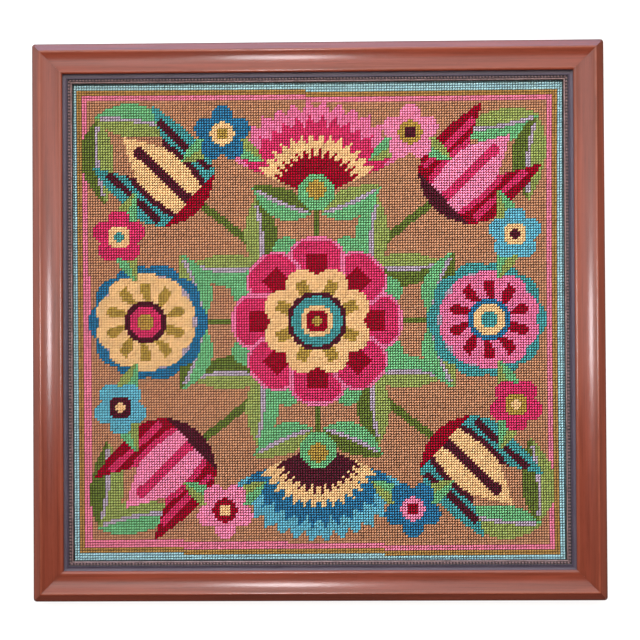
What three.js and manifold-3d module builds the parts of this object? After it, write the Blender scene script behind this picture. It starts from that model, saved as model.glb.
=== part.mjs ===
// A needlepoint canvas panel in its picture frame: one flat stitched canvas,
// four mitred lengths of scooped wood moulding with a rabbet, and four mitred
// lengths of a narrow beaded slip between the moulding and the canvas.
//
// Millimetres. The panel lies on its back with its face up: +X is the
// picture's right, +Y its top, +Z out of its face. The origin is the middle of
// the back, on the plane that the moulding's back lies in.

import * as THREE from 'three';
import { mergeVertices } from 'three/addons/utils/BufferGeometryUtils.js';
import Module from 'manifold-3d';

const wasm = await Module();
wasm.setup();

// ---------------------------------------------------------------- sizes

const DEGREE = Math.PI / 180;

// Outside of the frame
const FRAME_WIDTH = 464; // X
const FRAME_HEIGHT = 453; // Y
const CORNER_RADIUS = 2.5; // eased outer corners, in plan
const CORNER_STEPS = 6;

// Clearances
const GAP = 0.3; // between neighbouring pieces
const MITRE_TRIM = (GAP / 2) * Math.SQRT2; // each mitred end, along its length

// Moulding section. u runs inwards from the outer side, z up from the back.
const SIDE_HEIGHT = 15; // upright outer side
const CREST_U = 6.35; // where the outer slope and the scoop would meet,
const CREST_Z = 20.233; // but for the eased crest, whose top is at 20
const CREST_EDGE = 1.1; // radius of the crest's turn out of the slope
const CREST_ROLL = 6; // and of its slower roll into the scoop
const CREST_TURN = 3 * DEGREE; // lean of the face where one passes into the other
const SCOOP_LOW_U = 20.2; // lowest line of the scoop
const SCOOP_RADIUS = 45;
const NOSE_START_U = 22.35; // where the scoop rolls over into the inner nose
const NOSE_ROLL = 5; // radius of that roll
const NOSE_TURN = 18 * DEGREE; // lean of the face where a tighter turn takes over
const LIP_INNER_U = 24.9; // inner edge of the moulding
const RABBET_U = 17; // rabbet's upright wall
const RABBET_Z = 15.5; // rabbet's ledge

// Slip section, same axes
const SLIP_BACK_U = RABBET_U + GAP;
const SLIP_TOP_Z = RABBET_Z - GAP;
const SLIP_COVE_U = 24.2; // cove begins, under the moulding's edge
const SLIP_COVE_END_U = 28.5;
const SLIP_COVE_END_Z = 14.95;
const SLIP_COVE_DEPTH = 0.68;
const SLIP_GROOVE_U = 28.7; // foot of the groove beside the beads
const SLIP_GROOVE_Z = 13.9;
const BEAD_LINE_U = 30.0; // middle of the bead row
const BEAD_RADIUS = 1.05;
const SIGHT_START_U = 31.15; // fine sight edge
const SIGHT_TOP_Z = 14.1;
const SIGHT_ROUND = 0.45;
const SIGHT_EDGE_U = 32.3; // where the sight edge turns down
const SIGHT_U = 32.9; // opening's edge, at the foot of the bevel
const BEVEL_FOOT_Z = 12.6;

// Canvas
const CANVAS_THICK = 2.6; // canvas and wool together
const CANVAS_TOP_Z = 12.0;
const CANVAS_EDGE_U = 18.2; // cut edge, clear of the rabbet's wall
const CANVAS_CORNER = 1.0;

const SLIP_BOTTOM_Z = CANVAS_TOP_Z + GAP;

// ---------------------------------------------------------------- materials

const wood = new THREE.MeshStandardMaterial({ color: 0x9a5544, roughness: 0.3, metalness: 0 });
const paint = new THREE.MeshStandardMaterial({ color: 0x665c69, roughness: 0.5, metalness: 0 });
const wool = new THREE.MeshStandardMaterial({ color: 0xb5835a, roughness: 0.95, metalness: 0 });

// ---------------------------------------------------------------- sections

const scoopZ = (u) => {
  const sag = (d) => SCOOP_RADIUS - Math.sqrt(SCOOP_RADIUS ** 2 - d ** 2);
  return CREST_Z - sag(SCOOP_LOW_U - CREST_U) + sag(u - SCOOP_LOW_U);
};

// Point of an arc whose face leans inwards by the angle a there.
const onArc = ([u, z], radius, a) => [u + radius * Math.sin(a), z + radius * Math.cos(a)];

// The eased crest: the middles of its two arcs, placed so that the first runs
// out of the slope and the second into the scoop.
function crestArcs() {
  const slope = Math.atan2(CREST_Z - SIDE_HEIGHT, CREST_U);
  const scoopMiddle = [SCOOP_LOW_U, scoopZ(SCOOP_LOW_U) + SCOOP_RADIUS];
  const arcsAt = (s) => {
    const start = [s * Math.cos(slope), SIDE_HEIGHT + s * Math.sin(slope)];
    const edge = onArc(start, -CREST_EDGE, -slope);
    const roll = onArc(edge, CREST_EDGE - CREST_ROLL, CREST_TURN);
    return { slope, edge, roll };
  };
  let low = 0;
  let high = CREST_U / Math.cos(slope);
  for (let i = 0; i < 60; i++) {
    const s = (low + high) / 2;
    const { roll } = arcsAt(s);
    const apart = Math.hypot(roll[0] - scoopMiddle[0], roll[1] - scoopMiddle[1]);
    if (apart > SCOOP_RADIUS + CREST_ROLL) low = s;
    else high = s;
  }
  const arcs = arcsAt(low);
  arcs.scoop = Math.asin((scoopMiddle[0] - arcs.roll[0]) / (SCOOP_RADIUS + CREST_ROLL));
  return arcs;
}

function mouldingSection() {
  const scoopSteps = 14;
  const arcSteps = 4;
  const section = new THREE.Shape();
  section.moveTo(0, 0);
  section.lineTo(RABBET_U, 0);
  section.lineTo(RABBET_U, RABBET_Z);
  section.lineTo(LIP_INNER_U, RABBET_Z);
  const arc = (middle, radius, from, to, first) => {
    for (let i = first; i <= arcSteps; i++) {
      section.lineTo(...onArc(middle, radius, from + ((to - from) * i) / arcSteps));
    }
  };
  // rounded nose, up to the scoop's inner end
  const noseLean = -Math.asin((NOSE_START_U - SCOOP_LOW_U) / SCOOP_RADIUS);
  const roll = onArc([NOSE_START_U, scoopZ(NOSE_START_U)], -NOSE_ROLL, noseLean);
  const passed = onArc(roll, NOSE_ROLL, NOSE_TURN);
  const tight = (LIP_INNER_U - passed[0]) / (1 - Math.sin(NOSE_TURN));
  arc(onArc(passed, -tight, NOSE_TURN), tight, Math.PI / 2, NOSE_TURN, 0);
  arc(roll, NOSE_ROLL, NOSE_TURN, noseLean, 1);
  // the scoop, out to the crest
  const crest = crestArcs();
  const scoopEnd = onArc(crest.roll, CREST_ROLL, crest.scoop)[0];
  for (let i = 1; i < scoopSteps; i++) {
    const u = NOSE_START_U + (scoopEnd - NOSE_START_U) * (i / scoopSteps);
    section.lineTo(u, scoopZ(u));
  }
  // the eased crest, then straight down the outer slope to the upright side
  arc(crest.roll, CREST_ROLL, crest.scoop, CREST_TURN, 0);
  arc(crest.edge, CREST_EDGE, CREST_TURN, -crest.slope, 1);
  section.lineTo(0, SIDE_HEIGHT);
  section.lineTo(0, 0);
  return section;
}

function slipSection() {
  const coveSteps = 6;
  const beadSteps = 8;
  const roundSteps = 4;
  const section = new THREE.Shape();
  section.moveTo(SLIP_BACK_U, SLIP_BOTTOM_Z);
  section.lineTo(SIGHT_U, SLIP_BOTTOM_Z);
  // bevel up to the sight edge, which has a rounded top
  section.lineTo(SIGHT_U, BEVEL_FOOT_Z);
  for (let i = 0; i <= roundSteps; i++) {
    const a = (i / roundSteps) * (Math.PI / 2);
    section.lineTo(
      SIGHT_EDGE_U - SIGHT_ROUND + SIGHT_ROUND * Math.cos(a),
      SIGHT_TOP_Z - SIGHT_ROUND + SIGHT_ROUND * Math.sin(a),
    );
  }
  section.lineTo(SIGHT_START_U, SIGHT_TOP_Z - 0.1);
  section.lineTo(SIGHT_START_U, SLIP_GROOVE_Z);
  // half-round bead row
  for (let i = 0; i <= beadSteps; i++) {
    const a = (i / beadSteps) * Math.PI;
    section.lineTo(
      BEAD_LINE_U + BEAD_RADIUS * Math.cos(a),
      SLIP_GROOVE_Z + BEAD_RADIUS * Math.sin(a),
    );
  }
  section.lineTo(SLIP_GROOVE_U, SLIP_GROOVE_Z);
  // shallow cove, back under the moulding's lip
  for (let i = 0; i <= coveSteps; i++) {
    const t = i / coveSteps;
    section.lineTo(
      SLIP_COVE_END_U + (SLIP_COVE_U - SLIP_COVE_END_U) * t,
      SLIP_COVE_END_Z + (SLIP_TOP_Z - SLIP_COVE_END_Z) * t - SLIP_COVE_DEPTH * Math.sin(Math.PI * t) ** 0.8,
    );
  }
  section.lineTo(SLIP_BACK_U, SLIP_TOP_Z);
  section.lineTo(SLIP_BACK_U, SLIP_BOTTOM_Z);
  return section;
}

// ---------------------------------------------------------------- members

function solidOf(geometry) {
  const bare = geometry.clone();
  bare.deleteAttribute('normal');
  bare.deleteAttribute('uv');
  const merged = mergeVertices(bare, 1e-4);
  return new wasm.Manifold(new wasm.Mesh({
    numProp: 3,
    vertProperties: new Float32Array(merged.attributes.position.array),
    triVerts: new Uint32Array(merged.index.array),
  }));
}

function geometryOf(solid) {
  const mesh = solid.getMesh();
  const geometry = new THREE.BufferGeometry();
  geometry.setAttribute('position', new THREE.BufferAttribute(new Float32Array(mesh.vertProperties), 3));
  geometry.setIndex(new THREE.BufferAttribute(new Uint32Array(mesh.triVerts), 1));
  geometry.computeVertexNormals();
  return geometry;
}

// A section run along X, its outer side at y = -reach, both ends mitred at 45
// degrees and trimmed for the joint.
function mitredLength(section, length, reach) {
  const geometry = new THREE.ExtrudeGeometry(section, { depth: 1, steps: 1, bevelEnabled: false, curveSegments: 1 });
  const p = geometry.attributes.position;
  for (let i = 0; i < p.count; i++) {
    const u = p.getX(i);
    const z = p.getY(i);
    const end = p.getZ(i) > 0.5 ? 1 : -1;
    p.setXYZ(i, end * (length / 2 - u - MITRE_TRIM), u - reach, z);
  }
  return geometry;
}

// The waste outside a rounded outer corner at (x, -reach); side is the sign of x.
function cornerWaste(x, reach, side) {
  const over = 2;
  const r = CORNER_RADIUS;
  const waste = new THREE.Shape();
  waste.moveTo(-over, r);
  for (let i = 0; i <= CORNER_STEPS; i++) {
    const a = Math.PI + (i / CORNER_STEPS) * (Math.PI / 2);
    waste.lineTo(r + r * Math.cos(a), r + r * Math.sin(a));
  }
  waste.lineTo(r, -over);
  waste.lineTo(-over, -over);
  waste.lineTo(-over, r);
  const geometry = new THREE.ExtrudeGeometry(waste, { depth: CREST_Z + 2 * over, bevelEnabled: false });
  geometry.translate(0, 0, -over);
  if (side > 0) geometry.rotateZ(Math.PI / 2);
  geometry.translate(x, -reach, 0);
  return geometry;
}

function mouldingLength(length, reach) {
  let solid = solidOf(mitredLength(mouldingSection(), length, reach));
  for (const side of [-1, 1]) {
    solid = solid.subtract(solidOf(cornerWaste((side * length) / 2, reach, side)));
  }
  return geometryOf(solid);
}

// One row for each side: its name, its turn about Z from the bottom side, its
// length along the side, and how far the side stands from the middle.
const SIDES = [
  { side: 'bottom', turn: 0, length: FRAME_WIDTH, reach: FRAME_HEIGHT / 2 },
  { side: 'right', turn: Math.PI / 2, length: FRAME_HEIGHT, reach: FRAME_WIDTH / 2 },
  { side: 'top', turn: Math.PI, length: FRAME_WIDTH, reach: FRAME_HEIGHT / 2 },
  { side: 'left', turn: -Math.PI / 2, length: FRAME_HEIGHT, reach: FRAME_WIDTH / 2 },
];

const panel = new THREE.Group();

function place(name, geometry, material, turn = 0) {
  const mesh = new THREE.Mesh(geometry, material);
  mesh.name = name;
  mesh.rotation.z = turn;
  panel.add(mesh);
}

for (const { side, turn, length, reach } of SIDES) {
  place(`frame_${side}`, mouldingLength(length, reach), wood, turn);
  place(`slip_${side}`, mitredLength(slipSection(), length, reach), paint, turn);
}

// ---------------------------------------------------------------- canvas

function canvasSheet() {
  const w = FRAME_WIDTH / 2 - CANVAS_EDGE_U;
  const h = FRAME_HEIGHT / 2 - CANVAS_EDGE_U;
  const c = CANVAS_CORNER;
  const cut = new THREE.Shape();
  cut.moveTo(-w + c, -h);
  cut.lineTo(w - c, -h);
  cut.lineTo(w, -h + c);
  cut.lineTo(w, h - c);
  cut.lineTo(w - c, h);
  cut.lineTo(-w + c, h);
  cut.lineTo(-w, h - c);
  cut.lineTo(-w, -h + c);
  const geometry = new THREE.ExtrudeGeometry(cut, { depth: CANVAS_THICK, bevelEnabled: false });
  geometry.translate(0, 0, CANVAS_TOP_Z - CANVAS_THICK);
  return geometry;
}

place('needlepoint_canvas', canvasSheet(), wool);

export default panel;
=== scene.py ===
import math

import bpy
import numpy as np
from mathutils import Matrix, Vector


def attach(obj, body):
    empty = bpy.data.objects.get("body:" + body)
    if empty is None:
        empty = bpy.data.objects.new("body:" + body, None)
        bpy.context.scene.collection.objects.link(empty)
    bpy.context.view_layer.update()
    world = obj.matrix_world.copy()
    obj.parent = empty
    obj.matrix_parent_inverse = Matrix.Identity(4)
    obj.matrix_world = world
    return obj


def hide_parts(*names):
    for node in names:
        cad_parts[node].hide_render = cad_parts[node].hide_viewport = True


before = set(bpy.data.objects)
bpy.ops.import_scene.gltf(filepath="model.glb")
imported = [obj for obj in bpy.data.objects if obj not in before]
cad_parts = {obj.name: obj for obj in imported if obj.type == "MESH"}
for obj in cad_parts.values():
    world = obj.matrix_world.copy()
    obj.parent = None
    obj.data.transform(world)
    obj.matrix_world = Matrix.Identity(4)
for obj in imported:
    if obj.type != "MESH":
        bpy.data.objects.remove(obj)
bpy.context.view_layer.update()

MM = 0.001
RNG = np.random.default_rng(4127)

# ------------------------------------------------------------------ sizes, mm
# u runs inwards from the frame's outer side, z up from its back

FRAME_WIDTH, FRAME_HEIGHT = 464.0, 453.0
CORNER_RADIUS = 2.5
HAIRLINE = 0.02                       # half of a closed mitre's joint line

SIDE_HEIGHT = 15.0
CREST_U, CREST_Z = 6.35, 20.233       # where slope and scoop would meet, but for the eased crest
CREST_EDGE, CREST_ROLL, CREST_TURN = 1.1, 6.0, math.radians(3)
SCOOP_LOW_U, SCOOP_RADIUS = 20.2, 45.0
NOSE_START_U, NOSE_ROLL, NOSE_TURN, LIP_INNER_U = 22.35, 5.0, math.radians(18), 24.9
RABBET_U, RABBET_Z = 17.0, 15.5

SLIP_BACK_U, SLIP_TOP_Z = 17.3, 15.2
SLIP_COVE_U, SLIP_COVE_END_U, SLIP_COVE_END_Z, SLIP_COVE_DEPTH = 24.2, 28.5, 14.95, 0.68
SLIP_GROOVE_U, SLIP_GROOVE_Z = 28.7, 13.9
BEAD_LINE_U, BEAD_RADIUS, BEAD_PITCH = 30.0, 1.05, 2.62
SIGHT_START_U, SIGHT_TOP_Z, SIGHT_ROUND = 31.15, 14.1, 0.45
SIGHT_EDGE_U, SIGHT_U, BEVEL_FOOT_Z = 32.3, 32.9, 12.6
SIGHT_EASE = 0.85                     # how far back the sight edge is rubbed round
SLIP_BOTTOM_Z = 12.3

CANVAS_EDGE_U, CANVAS_CORNER = 18.2, 1.0
GROUND_TOP_Z, GROUND_BOTTOM_Z = 10.3, 9.6       # bare canvas under the wool

SIDES = (  # name, turn about Z from the bottom side, length, reach
    ("bottom", 0.0, FRAME_WIDTH, FRAME_HEIGHT / 2),
    ("right", math.pi / 2, FRAME_HEIGHT, FRAME_WIDTH / 2),
    ("top", math.pi, FRAME_WIDTH, FRAME_HEIGHT / 2),
    ("left", -math.pi / 2, FRAME_HEIGHT, FRAME_WIDTH / 2),
)

# ------------------------------------------------------------------ yarns
# one shade a wool, as plain sRGB numbers

YARN = {
    "tan": 0xB08262, "teal": 0x4DA1A1, "crimson": 0xAD072C, "hot": 0xD9396E,
    "pink": 0xE0769D, "rose": 0xE585A7, "green": 0x69AD78, "leaf": 0x8D9D57,
    "moss": 0x6C7D3A, "mustard": 0xAD9243, "cream": 0xCCA877, "plum": 0x5F2234,
    "blue": 0x327DA3, "aqua": 0x96BFC5, "lilac": 0xA79AA9, "sky": 0x5EA9BC,
    "blush": 0xD97A95, "ochre": 0xA38148,
}
SHADE = {name: k for k, name in enumerate(YARN)}


def linear(code):
    rgb = np.array([(code >> 16) & 255, (code >> 8) & 255, code & 255]) / 255.0
    return np.where(rgb <= 0.04045, rgb / 12.92, ((rgb + 0.055) / 1.055) ** 2.4)


def rgba(code, gain=1.0):
    return (*[float(x) * gain for x in linear(code)], 1.0)


# ------------------------------------------------------------------ chart
# One cell a stitch: plain stripes round a generic folk layout of a rosette,
# tulips, fans, daisies and leaves, worked out from the functions below.

NX, NY = 192, 188
EDGE = 4                              # aqua stitches outside the mustard line


def stitch_chart():
    c = np.full((NX, NY), SHADE["tan"], np.int8)
    u = (np.arange(NX) + 0.5 - NX / 2)[:, None] + np.zeros((1, NY))
    v = (np.arange(NY) + 0.5 - NY / 2)[None, :] + np.zeros((NX, 1))

    def put(mask, name):
        c[mask] = SHADE[name]

    def local(x, y, deg):
        a = math.radians(deg)
        dx, dy = u - x, v - y
        return dx * math.cos(a) + dy * math.sin(a), dy * math.cos(a) - dx * math.sin(a)

    def disc(x, y, r, name):
        put((u - x) ** 2 + (v - y) ** 2 <= r * r, name)

    def leaf(x, y, deg, length, width, light, dark, vein="lilac", bend=0.0):
        s, t = local(x, y, deg)
        q = np.clip(s / length, 0, 1)
        t = t - bend * length * np.sin(np.pi * q)
        half = width / 2 * np.sin(np.pi * q ** 0.85) ** 0.8
        inside = (s > 0) & (s < length) & (np.abs(t) < half)
        put(inside & (t >= 0), light)
        put(inside & (t < 0), dark)
        if vein:
            put(inside & (np.abs(t) < 0.75) & (q > 0.06) & (q < 0.9), vein)

    def stem(x0, y0, x1, y1, name, width=1.5, bow=0.0):
        run = math.hypot(x1 - x0, y1 - y0)
        nx, ny = -(y1 - y0) / run, (x1 - x0) / run
        for q in np.linspace(0, 1, 120):
            b = bow * math.sin(math.pi * q)
            disc(x0 + (x1 - x0) * q + nx * b, y0 + (y1 - y0) * q + ny * b, width, name)

    def petals(x, y, n, r0, r1, width, name, core=None, turn=0.0, edge=None, tip=0.7):
        for k in range(n):
            s, t = local(x, y, turn + 360 * k / n)
            q = np.clip((s - r0) / (r1 - r0), 0, 1)
            fall = np.where(q > tip, 1 - tip, tip + 0.25)
            half = width / 2 * np.sqrt(np.clip(1 - ((q - tip) / fall) ** 2, 0, 1))
            inside = (s >= r0) & (s <= r1) & (np.abs(t) <= half)
            put(inside, edge or name)
            if edge:
                put(inside & (np.abs(t) <= half - 1.6) & (s <= r1 - 1.8), name)
            if core:
                put(inside & (np.abs(t) <= np.maximum(half * 0.34, 0.8)) & (q < 0.72), core)

    def blossom(x, y, r, petal, heart, eye, n=5, turn=90.0):
        d = np.hypot(u - x, v - y)
        th = np.arctan2(v - y, u - x) - math.radians(turn)
        put(d <= r * (0.66 + 0.34 * np.abs(np.cos(n * th / 2)) ** 0.7), petal)
        put(d <= r * 0.42, heart)
        put(d <= r * 0.2, eye)

    def tulip(x, y, deg, height, width, outer, inner, stripe, calyx):
        s, t = local(x, y, deg)
        a, b = s / height, t / (width / 2)
        belly = np.where(a < 0.42, np.sqrt(np.clip(1 - ((0.42 - a) / 0.42) ** 2, 0, 1)),
                         1 - 0.10 * ((a - 0.42) / 0.58) ** 2)
        near = np.min(np.stack([np.abs(b - 0.86), np.abs(b), np.abs(b + 0.86)]), 0) / 0.43
        cup = (a >= 0) & (np.abs(b) <= belly) & (a <= 1.0 - 0.36 * np.clip(near, 0, 1))
        put(cup, outer)
        mid = 0.46 * np.sqrt(np.clip(1 - ((a - 0.45) / 0.55) ** 2, 0, 1))
        put(cup & (np.abs(b) <= mid + 0.12) & (a > 0.05), stripe)
        put(cup & (np.abs(b) <= mid) & (a > 0.05), inner)
        put(cup & (np.abs(b) <= 0.10) & (a > 0.12) & (a < 0.82), stripe)
        put(cup & (np.abs(np.abs(b) - 0.74) < 0.07) & (a > 0.2) & (a < 0.86), stripe)
        put(cup & (a < 0.13), calyx)

    def fan(x, y, deg, radius, spread, bands, teeth):
        s, t = local(x, y, deg)
        d, th = np.hypot(s, t), np.degrees(np.arctan2(t, s))
        w = np.abs(((th / spread * teeth) % 1) - 0.5) * 2
        for frac, name in bands:
            put((np.abs(th) <= spread) & (d <= radius * (frac - 0.11 * w)), name)

    signs = ((-1, -1), (-1, 1), (1, -1), (1, 1))
    for sx, sy in signs:
        a = math.degrees(math.atan2(52 * sy, 54 * sx))
        stem(0, 0, 54 * sx, 52 * sy, "moss", 1.5, 4 * sx * sy)
        bx, by = 30 * math.cos(math.radians(a)), 30 * math.sin(math.radians(a))
        leaf(bx, by, a + 42, 27, 13, "green", "leaf", bend=0.05)
        leaf(bx, by, a - 42, 27, 13, "leaf", "moss", bend=-0.05)
        flip = 0 if sx < 0 else 180
        leaf(85 * sx, 79 * sy, flip + 9 * sx * sy, 33, 13, "green" if sy > 0 else "leaf", "leaf" if sy > 0 else "green", bend=0.05)
        leaf(84 * sx, 78 * sy, -90 * sy - 5 * sx * sy, 32, 13, "leaf" if sy > 0 else "moss", "moss" if sy > 0 else "leaf", bend=-0.05)
    for s in (-1, 1):
        stem(0, 0, 60 * s, 0, "moss")
        stem(0, 0, 0, 52 * s, "moss")
    for sx, sy in signs:
        odd = sx * sy > 0
        leaf(44 * sx, sy, 90 * sy - 18 * sx * sy, 27, 12, "green" if odd else "leaf",
             "moss" if odd else "green", bend=0.05 * sx * sy)
        leaf(2 * sx, 42 * sy, (0 if sx > 0 else 180) + 24 * sx * sy, 25, 12, "leaf" if odd else "green",
             "green" if odd else "moss", bend=-0.05 * sx * sy)
        a = math.degrees(math.atan2(52 * sy, 54 * sx))
        tulip(45 * sx, 43.5 * sy, a, 41, 38, *(("crimson", "rose", "hot", "plum") if odd
                                              else ("teal", "cream", "plum", "crimson")))
    fan(0, 48, 90, 38, 66, ((1.0, "pink"), (0.84, "hot"), (0.66, "cream"), (0.5, "crimson")), 7)
    fan(0, -48, -90, 38, 66, ((1.0, "sky"), (0.84, "blue"), (0.66, "cream"), (0.5, "plum")), 7)
    for s in (-1, 1):
        disc(0, 50 * s, 7, "green")
        disc(0, 51 * s, 3.6, "mustard")
        petals(65 * s, 0, 10, 8, 23.0, 13.5, "teal" if s > 0 else "blue", "lilac", 0)
        petals(66 * s, 0, 10, 5, 19.5, 11.5, "pink" if s > 0 else "cream",
               "crimson" if s > 0 else "mustard", 18)
        disc(66 * s, 0, 8.2, "blue" if s > 0 else "plum")
        disc(66 * s, 0, 6.3, "cream" if s > 0 else "hot")
        disc(66 * s, 0, 3.2, "teal" if s > 0 else "mustard")
    petals(0, 0, 8, 10, 35, 15, "green", "lilac", 22.5, tip=0.55)
    petals(0, 0, 8, 8, 33, 22, "hot", "crimson", 0, "pink", 0.66)
    petals(0, 0, 8, 6, 21, 13, "cream", "mustard", 22.5, tip=0.6)
    for r, name in ((11.5, "plum"), (9.8, "teal"), (6.4, "cream"), (4.4, "crimson"), (1.9, "mustard")):
        disc(0, 0, r, name)
    for x, y, r, petal, heart, eye in (
        (-36, 73, 11, "blue", "cream", "mustard"), (36, 73, 11, "rose", "mustard", "plum"),
        (-36, -73, 11, "rose", "crimson", "cream"), (36, -73, 11, "blue", "rose", "crimson"),
        (-76, 33, 10.5, "hot", "cream", "teal"), (76, 33, 10.5, "sky", "cream", "plum"),
        (-76, -33, 10.5, "sky", "plum", "cream"), (76, -33, 10.5, "hot", "mustard", "cream"),
    ):
        for turn in (35, 145) if abs(y) > 50 else (70, -70):
            leaf(x, y, turn + (180 if y > 50 or (x > 0 and abs(y) < 50) else 0), r + 8, 8, "leaf", "green", None)
        blossom(x, y, r, petal, heart, eye, turn=90 if y > 0 else -90)

    # stripes, counted as unevenly as a hand does
    i = np.arange(NX)[:, None] + np.zeros((1, NY), int)
    j = np.arange(NY)[None, :] + np.zeros((NX, 1), int)
    x_mm = u * 2.115
    top = np.where(x_mm > -8, 1, 0)
    bottom = np.where(x_mm < -110, 1, np.where(x_mm > 53, -1, 0))
    d = np.minimum(np.minimum(i - EDGE, NX - 1 - EDGE - i),
                   np.minimum(j - EDGE - bottom, NY - 1 - EDGE - j - top))
    wide = ((i < 14) & (j < 112)) | ((j < 16) & (i < 84))
    put((d >= 2) & (d < np.where(wide, 5, 4)) & (c == SHADE["tan"]), "blush")
    put((d >= 0) & (d < 2), "ochre")
    put(d < 0, "aqua")
    return c


# ------------------------------------------------------------------ meshes


def new_object(name, verts_mm, faces, materials, smooth=True, sharp=None):
    """verts_mm (n, 3); faces: an (m, 4) array, or a list of tuples."""
    mesh = bpy.data.meshes.new(name)
    if isinstance(faces, np.ndarray):
        n, k = faces.shape
        mesh.vertices.add(len(verts_mm))
        mesh.vertices.foreach_set("co", (np.asarray(verts_mm, np.float32) * MM).ravel())
        mesh.loops.add(n * k)
        mesh.loops.foreach_set("vertex_index", faces.astype(np.int32).ravel())
        mesh.polygons.add(n)
        mesh.polygons.foreach_set("loop_start", np.arange(0, n * k, k, dtype=np.int32))
        mesh.update(calc_edges=True)
    else:
        mesh.from_pydata([tuple(float(x) * MM for x in v) for v in verts_mm], [], faces)
    mesh.validate()
    for m in materials:
        mesh.materials.append(m)
    if smooth:
        mesh.shade_smooth()
        if sharp is not None:
            mesh.set_sharp_from_angle(angle=math.radians(sharp))
    obj = bpy.data.objects.new(name, mesh)
    bpy.context.scene.collection.objects.link(obj)
    return obj


def point_attribute(obj, name, kind, values):
    a = obj.data.attributes.new(name, kind, "POINT")
    field = {"FLOAT": "value", "FLOAT_VECTOR": "vector", "FLOAT_COLOR": "color"}[kind]
    a.data.foreach_set(field, np.asarray(values, np.float32).ravel())


# ------------------------------------------------------------------ materials


def material(name):
    m = bpy.data.materials.new(name)
    m.use_nodes = True
    nt = m.node_tree
    return m, nt, nt.nodes["Principled BSDF"]


def node(nt, kind, **settings):
    n = nt.nodes.new(kind)
    for key, value in settings.items():
        if key in n.inputs.keys():
            n.inputs[key].default_value = value
        else:
            setattr(n, key, value)
    return n


def ramp(nt, source, stops):
    n = nt.nodes.new("ShaderNodeValToRGB")
    while len(n.color_ramp.elements) < len(stops):
        n.color_ramp.elements.new(0.5)
    for e, (at, col) in zip(n.color_ramp.elements, stops):
        e.position = at
        e.color = col if hasattr(col, "__len__") else (col, col, col, 1.0)
    nt.links.new(source, n.inputs["Fac"])
    return n.outputs["Color"]


def mix(nt, kind, fac, a, b):
    n = nt.nodes.new("ShaderNodeMix")
    n.data_type = "RGBA"
    n.blend_type = kind
    for socket, value in ((n.inputs["Factor"], fac), (n.inputs["A"], a), (n.inputs["B"], b)):
        if isinstance(value, bpy.types.NodeSocket):
            nt.links.new(value, socket)
        else:
            socket.default_value = value
    return n.outputs["Result"]


def maths(nt, op, a, b=0.0):
    n = nt.nodes.new("ShaderNodeMath")
    n.operation = op
    for socket, value in zip(n.inputs, (a, b)):
        if isinstance(value, bpy.types.NodeSocket):
            nt.links.new(value, socket)
        else:
            socket.default_value = value
    return n.outputs["Value"]


def scaled(nt, vector, scale, rotate=(0, 0, 0)):
    n = nt.nodes.new("ShaderNodeMapping")
    n.inputs["Scale"].default_value = scale
    n.inputs["Rotation"].default_value = rotate
    nt.links.new(vector, n.inputs["Vector"])
    return n.outputs["Vector"]


def noise(nt, vector, scale, detail=2.0, rough=0.5, distortion=0.0):
    n = node(nt, "ShaderNodeTexNoise", Scale=scale, Detail=detail, Roughness=rough, Distortion=distortion)
    nt.links.new(vector, n.inputs["Vector"])
    return n.outputs["Fac"]


def bump(nt, height, strength, distance, normal=None):
    n = node(nt, "ShaderNodeBump", Strength=strength, Distance=distance)
    nt.links.new(height, n.inputs["Height"])
    if normal is not None:
        nt.links.new(normal, n.inputs["Normal"])
    return n.outputs["Normal"]


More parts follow.
